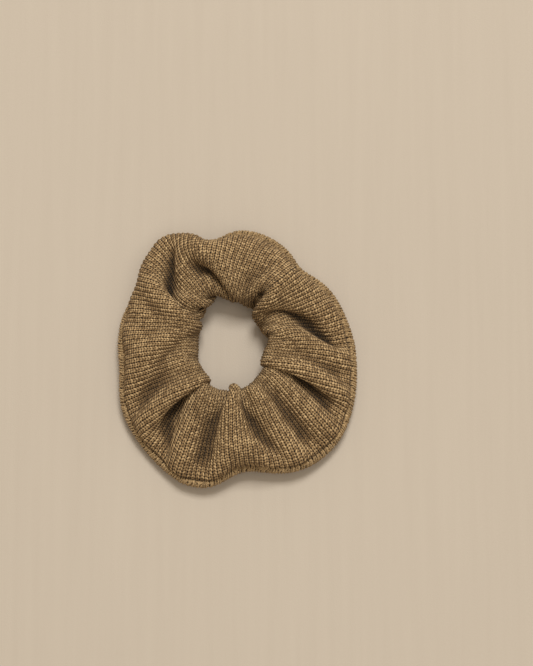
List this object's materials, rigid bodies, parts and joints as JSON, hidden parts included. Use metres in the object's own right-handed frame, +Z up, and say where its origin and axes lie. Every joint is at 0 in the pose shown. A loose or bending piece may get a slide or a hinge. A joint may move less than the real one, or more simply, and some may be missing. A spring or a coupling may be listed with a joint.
{
  "type": "hair scrunchie",
  "caption": "Gathered knit fabric scrunchie on an elastic loop, lying flat, with an overlocked outer edge and an opening for the hair.",
  "frame": {"origin": "on the table, under the middle of the part's plan outline", "axes": "+Z up through the opening, +Y along the opening's longer way, the tube's ends are joined on the +X +Y side"},
  "size_m": [0.1074, 0.1168, 0.025],
  "materials": {
    "knit": "olive-brown marled rib knit, matt",
    "overlock_yarn": "brown yarn, matt",
    "sewing_thread": "dark brown thread, matt",
    "elastic": "woven elastic band, off-white, matt"
  },
  "bodies": {
    "left_half": {"knit_cover_left": "knit", "edge_overlock_left": "overlock_yarn", "edge_seam_thread_left": "sewing_thread", "elastic_band_left": "elastic"},
    "right_half": {"knit_cover_right": "knit", "edge_overlock_right": "overlock_yarn", "edge_seam_thread_right": "sewing_thread", "elastic_band_right": "elastic", "elastic_join_stitches": "sewing_thread", "closing_stitches": "sewing_thread"}
  },
  "joints": [
    {"name": "stretch", "type": "slide", "parent": "left_half", "child": "right_half", "axis": [1, 0, 0], "range_m": [0, 0.08], "stiffness_N_per_m": 80}
  ]
}
